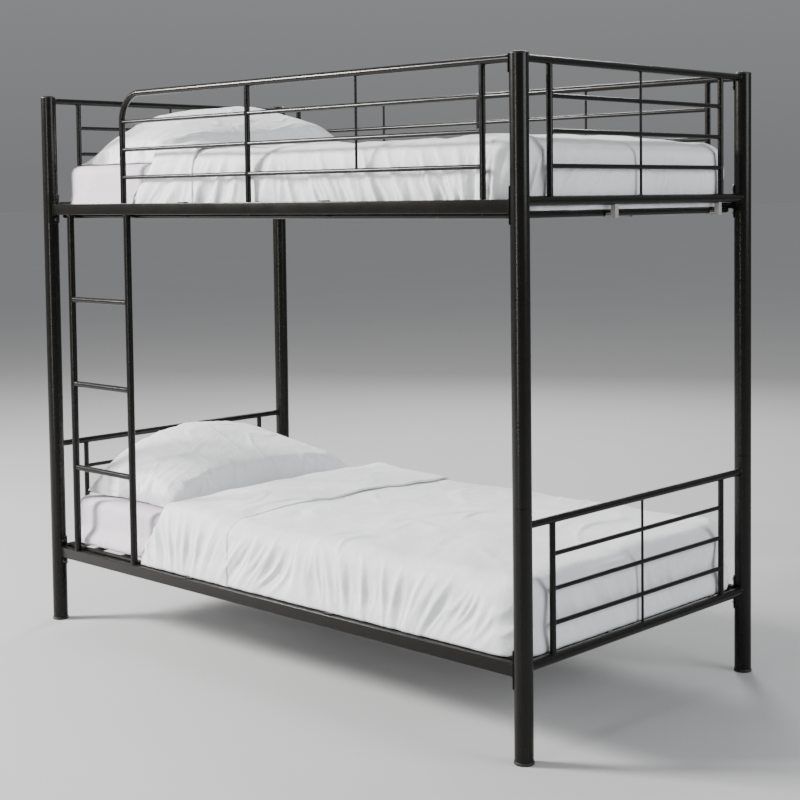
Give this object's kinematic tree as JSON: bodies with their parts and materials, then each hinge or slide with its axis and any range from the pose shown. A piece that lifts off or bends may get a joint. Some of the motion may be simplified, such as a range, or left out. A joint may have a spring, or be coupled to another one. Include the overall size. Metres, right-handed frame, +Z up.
{
  "type": "bunk bed with ladder",
  "caption": "Tubular steel bunk bed with a side ladder, barred guard rails and end frames, two mattresses, pillows and tucked-in duvets.",
  "frame": {"origin": "on the floor, under the middle of the bed", "axes": "+X along the length, from the head end, where the ladder is, to the foot end; +Y to the rear, away from the ladder side; +Z up"},
  "size_m": [2, 1.03, 1.697],
  "materials": {
    "frame_paint": "glossy near-black powder coat",
    "cap_plastic": "black moulded plastic, satin",
    "bolt_steel": "blackened steel",
    "clip_plastic": "light grey moulded plastic",
    "sheet_cotton": "fitted cotton sheet, pale lilac white",
    "white_cotton": "white cotton cover"
  },
  "bodies": {
    "root": {"base_clip_lower_foot_front": "clip_plastic", "base_clip_lower_foot_rear": "clip_plastic", "base_clip_lower_head_front": "clip_plastic", "base_clip_lower_head_rear": "clip_plastic", "base_clip_upper_foot_front": "clip_plastic", "base_clip_upper_foot_rear": "clip_plastic", "base_clip_upper_head_front": "clip_plastic", "base_clip_upper_head_rear": "clip_plastic", "foot_cap_foot_front": "cap_plastic", "foot_cap_foot_rear": "cap_plastic", "foot_cap_head_front": "cap_plastic", "foot_cap_head_rear": "cap_plastic", "front_guard_rail": "frame_paint", "guard_bolt_front_foot": "bolt_steel", "guard_bolt_rear_foot": "bolt_steel", "guard_bolt_rear_head": "bolt_steel", "ladder": "frame_paint", "lower_duvet": "white_cotton", "lower_foot_end_frame": "frame_paint", "lower_front_side_rail": "frame_paint", "lower_head_end_frame": "frame_paint", "lower_mattress": "sheet_cotton", "lower_mattress_base": "frame_paint", "lower_pillow": "white_cotton", "lower_rear_side_rail": "frame_paint", "middle_post_foot_front": "frame_paint", "middle_post_foot_rear": "frame_paint", "middle_post_head_front": "frame_paint", "middle_post_head_rear": "frame_paint", "post_cap_foot_front": "cap_plastic", "post_cap_foot_rear": "cap_plastic", "post_cap_head_front": "cap_plastic", "post_cap_head_rear": "cap_plastic", "rail_bolt_lower_front_foot_bottom": "bolt_steel", "rail_bolt_lower_front_foot_top": "bolt_steel", "rail_bolt_lower_front_head_bottom": "bolt_steel", "rail_bolt_lower_front_head_top": "bolt_steel", "rail_bolt_lower_rear_foot_bottom": "bolt_steel", "rail_bolt_lower_rear_foot_top": "bolt_steel", "rail_bolt_lower_rear_head_bottom": "bolt_steel", "rail_bolt_lower_rear_head_top": "bolt_steel", "rail_bolt_upper_front_foot_bottom": "bolt_steel", "rail_bolt_upper_front_foot_top": "bolt_steel", "rail_bolt_upper_front_head_bottom": "bolt_steel", "rail_bolt_upper_front_head_top": "bolt_steel", "rail_bolt_upper_rear_foot_bottom": "bolt_steel", "rail_bolt_upper_rear_foot_top": "bolt_steel", "rail_bolt_upper_rear_head_bottom": "bolt_steel", "rail_bolt_upper_rear_head_top": "bolt_steel", "rear_guard_rail": "frame_paint", "upper_duvet": "white_cotton", "upper_foot_end_frame": "frame_paint", "upper_front_side_rail": "frame_paint", "upper_head_end_frame": "frame_paint", "upper_mattress": "sheet_cotton", "upper_mattress_base": "frame_paint", "upper_pillow": "white_cotton", "upper_rear_side_rail": "frame_paint"}
  },
  "joints": []
}
